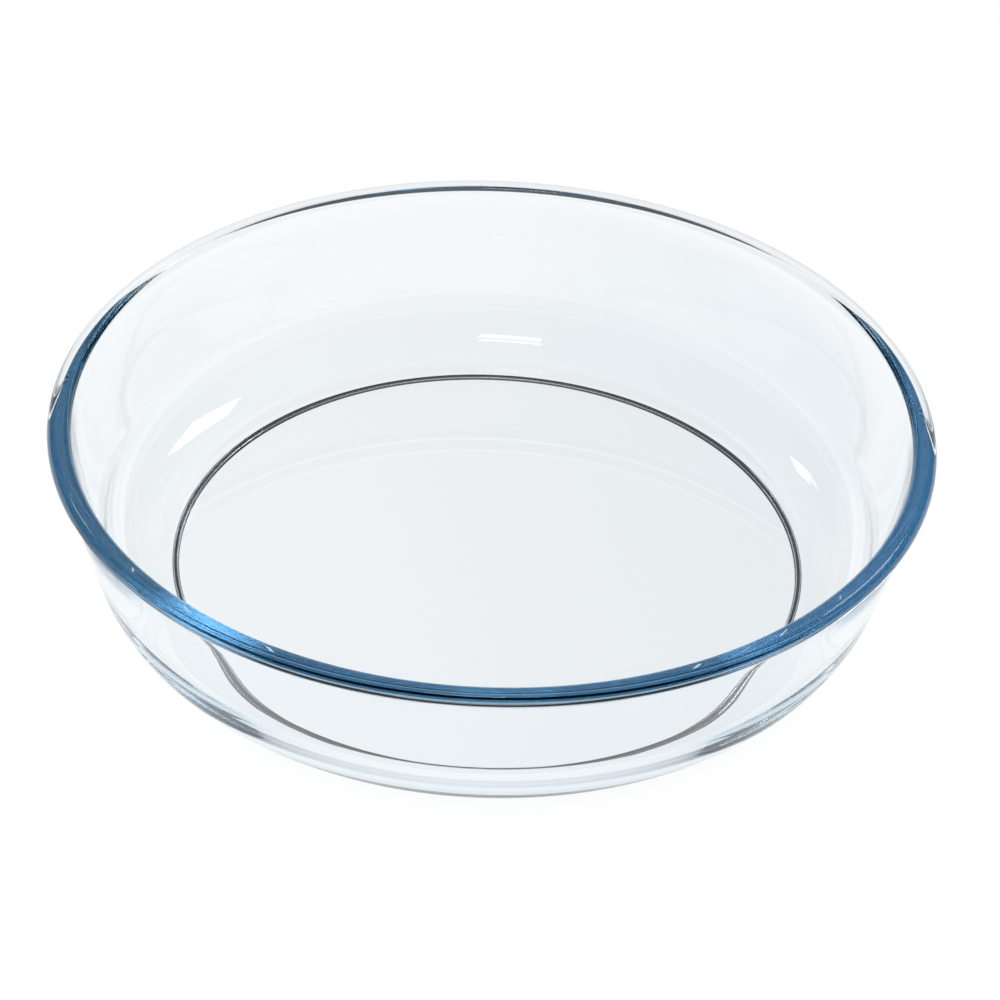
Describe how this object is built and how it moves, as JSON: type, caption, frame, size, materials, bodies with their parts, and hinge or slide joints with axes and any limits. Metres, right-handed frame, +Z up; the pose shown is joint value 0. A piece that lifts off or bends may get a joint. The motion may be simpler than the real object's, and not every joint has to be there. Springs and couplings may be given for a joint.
{
  "type": "round cake dish",
  "caption": "Round open baking dish of clear pressed glass, with a leaning wall, a flat lip rim that looks blue for its thickness, a rounded heel and a narrow foot rib under the base.",
  "frame": {"origin": "on the table plane, under the middle of the dish, at the centre of its foot rib", "axes": "+Z up along the axis of revolution, out of the mouth of the dish; X and Y are level and interchangeable"},
  "size_m": [0.26, 0.26, 0.057],
  "materials": {
    "clear_glass": "clear fire-polished pressed glass, faintly blue where it is thick"
  },
  "bodies": {
    "root": {"glass_dish": "clear_glass"}
  },
  "joints": []
}
